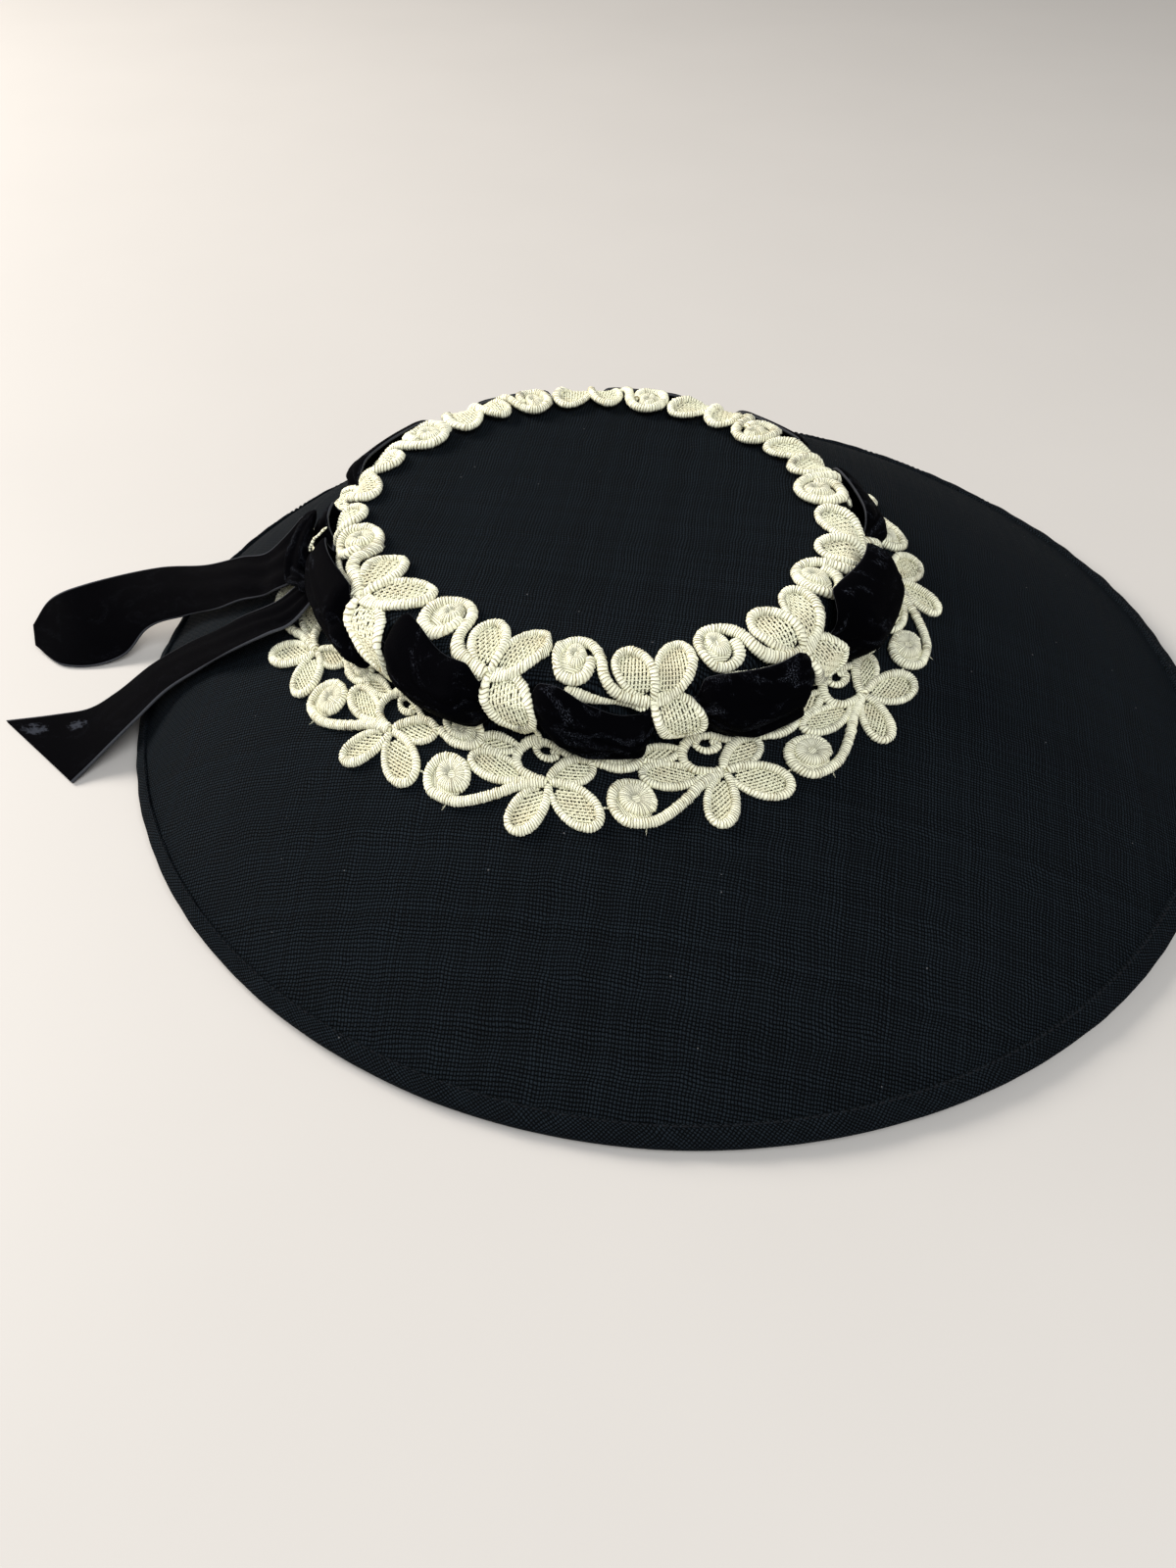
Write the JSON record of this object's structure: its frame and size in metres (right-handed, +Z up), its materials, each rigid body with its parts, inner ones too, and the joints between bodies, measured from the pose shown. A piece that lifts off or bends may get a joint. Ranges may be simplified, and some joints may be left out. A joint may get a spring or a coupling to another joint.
{
  "type": "picture hat",
  "caption": "Wide-brimmed black cloth picture hat with a shallow flat crown, ivory corded lace band and a black velvet ribbon drawn through it and knotted.",
  "frame": {"origin": "middle of the hat's box, on the surface it rests on", "axes": "+X towards the front of the hat, away from the ribbon knot and its tails; +Z up through the crown"},
  "size_m": [0.4332, 0.38, 0.0782],
  "materials": {
    "cloth": "matt fine weave",
    "binding": "matt fine weave, folded and stitched",
    "lace": "ivory satin-stitched cord and net",
    "velvet": "deep black pile with light selvedges"
  },
  "bodies": {
    "root": {"crown": "cloth", "brim": "cloth", "brim_binding": "binding", "lace": "lace", "ribbon_band": "velvet", "ribbon_knot": "velvet", "ribbon_tail_upper": "velvet", "ribbon_tail_lower": "velvet"}
  },
  "joints": []
}
